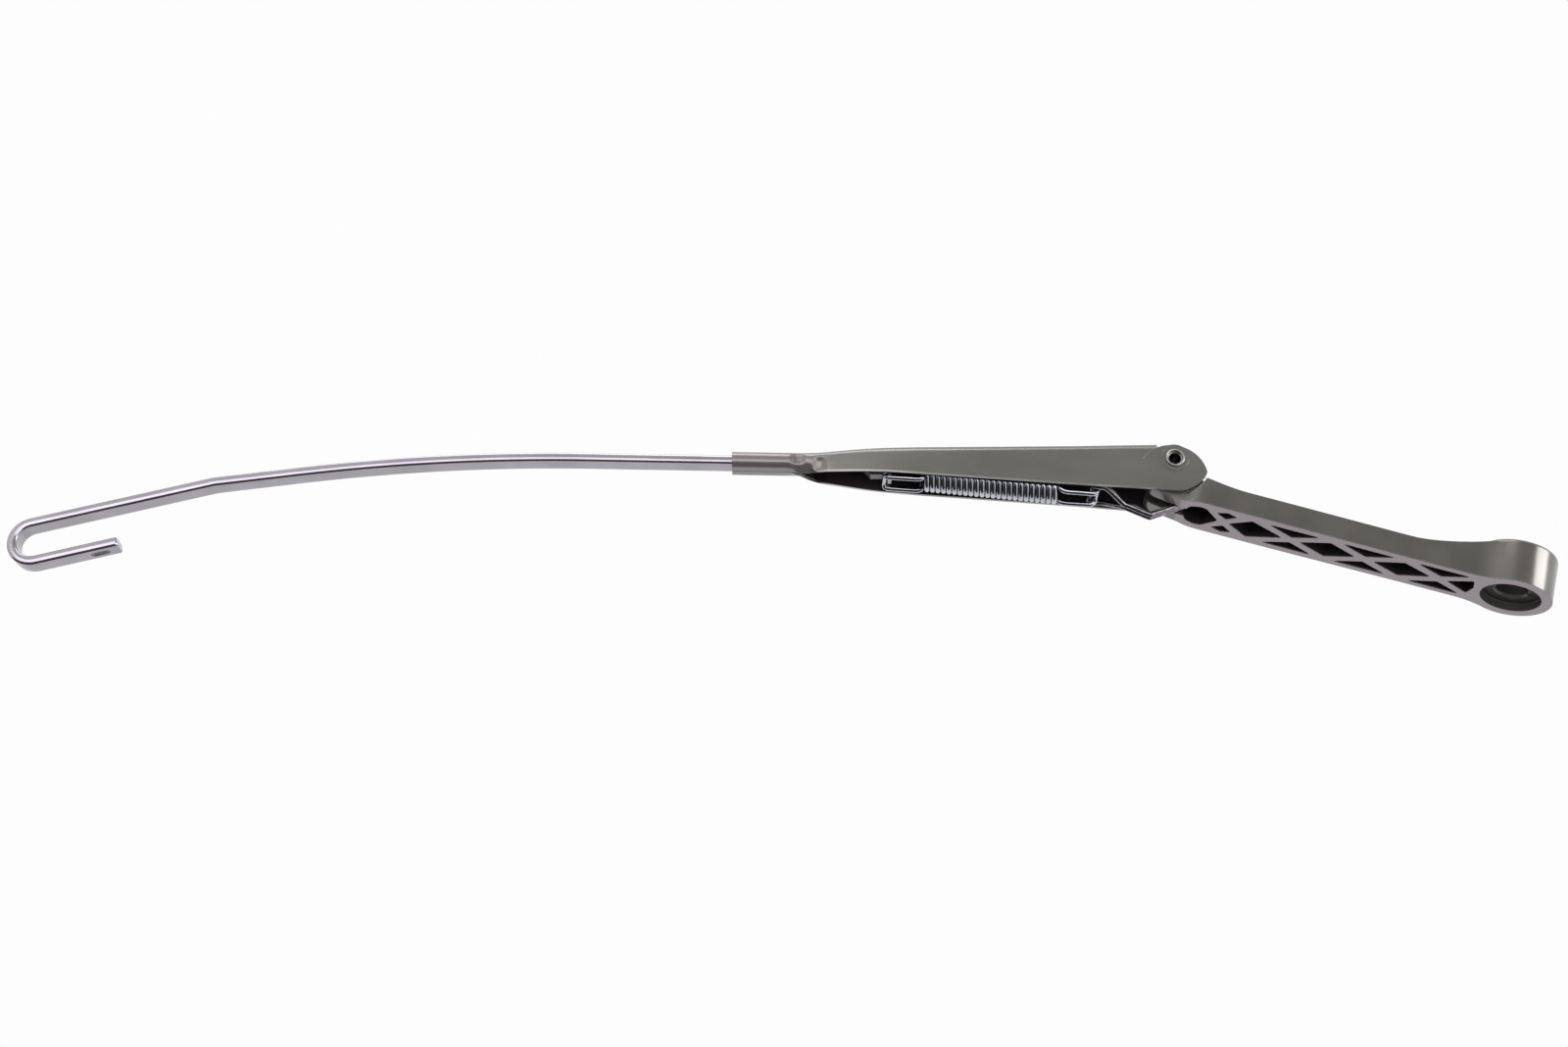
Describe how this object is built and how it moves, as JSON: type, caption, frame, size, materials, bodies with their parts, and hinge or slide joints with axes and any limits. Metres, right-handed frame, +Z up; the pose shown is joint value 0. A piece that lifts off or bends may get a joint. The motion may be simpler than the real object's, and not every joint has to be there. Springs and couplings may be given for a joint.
{
  "type": "wiper arm",
  "caption": "Flat-hook wiper arm: die-cast mounting head with a latticed underside, riveted channel-shaped retainer, tension spring with wire link, bowed flat rod with a J-hook.",
  "frame": {"origin": "centre of the spindle boss at the flat underside of the head", "axes": "+Z up along the spindle axis, away from the vehicle; the head and the arm lie along -X; +Y across the arm"},
  "size_m": [0.6219, 0.033, 0.1855],
  "materials": {
    "cast_alloy": "die casting in satin dark grey lacquer",
    "rivet_steel": "plated, slightly worn",
    "sheet_steel": "folded sheet in satin dark grey lacquer",
    "rod_steel": "drawn bar, silver-grey lacquer",
    "spring_steel": "zinc plated wire",
    "link_steel": "oiled drawn wire",
    "pin_steel": "ground pin"
  },
  "bodies": {
    "head": {"head_casting": "cast_alloy", "link_pin": "pin_steel"},
    "arm": {"retainer": "sheet_steel", "rod": "rod_steel", "hinge_rivet": "rivet_steel"},
    "link": {"spring_link": "link_steel"},
    "spring": {"tension_spring": "spring_steel"}
  },
  "joints": [
    {"name": "arm_lift", "type": "hinge", "parent": "head", "child": "arm", "pos_m": [-0.1469, 0, 0.0172], "axis": [0, 1, 0], "range_deg": [0, 80]},
    {"name": "link_swing", "type": "hinge", "parent": "head", "child": "link", "pos_m": [-0.1395, 0, 0.0058], "axis": [0, 1, 0], "range_deg": [0, 73.54]},
    {"name": "spring_stretch", "type": "slide", "parent": "link", "child": "spring", "axis": [-0.9769, 0, -0.2138], "range_m": [0, 0.00944], "deforming": ["tension_spring"]}
  ],
  "couplings": [
    {"joint": "link_swing", "follows": "arm_lift", "ratio": 0.91897},
    {"joint": "spring_stretch", "follows": "arm_lift", "m_per_rad": 0.006753}
  ]
}
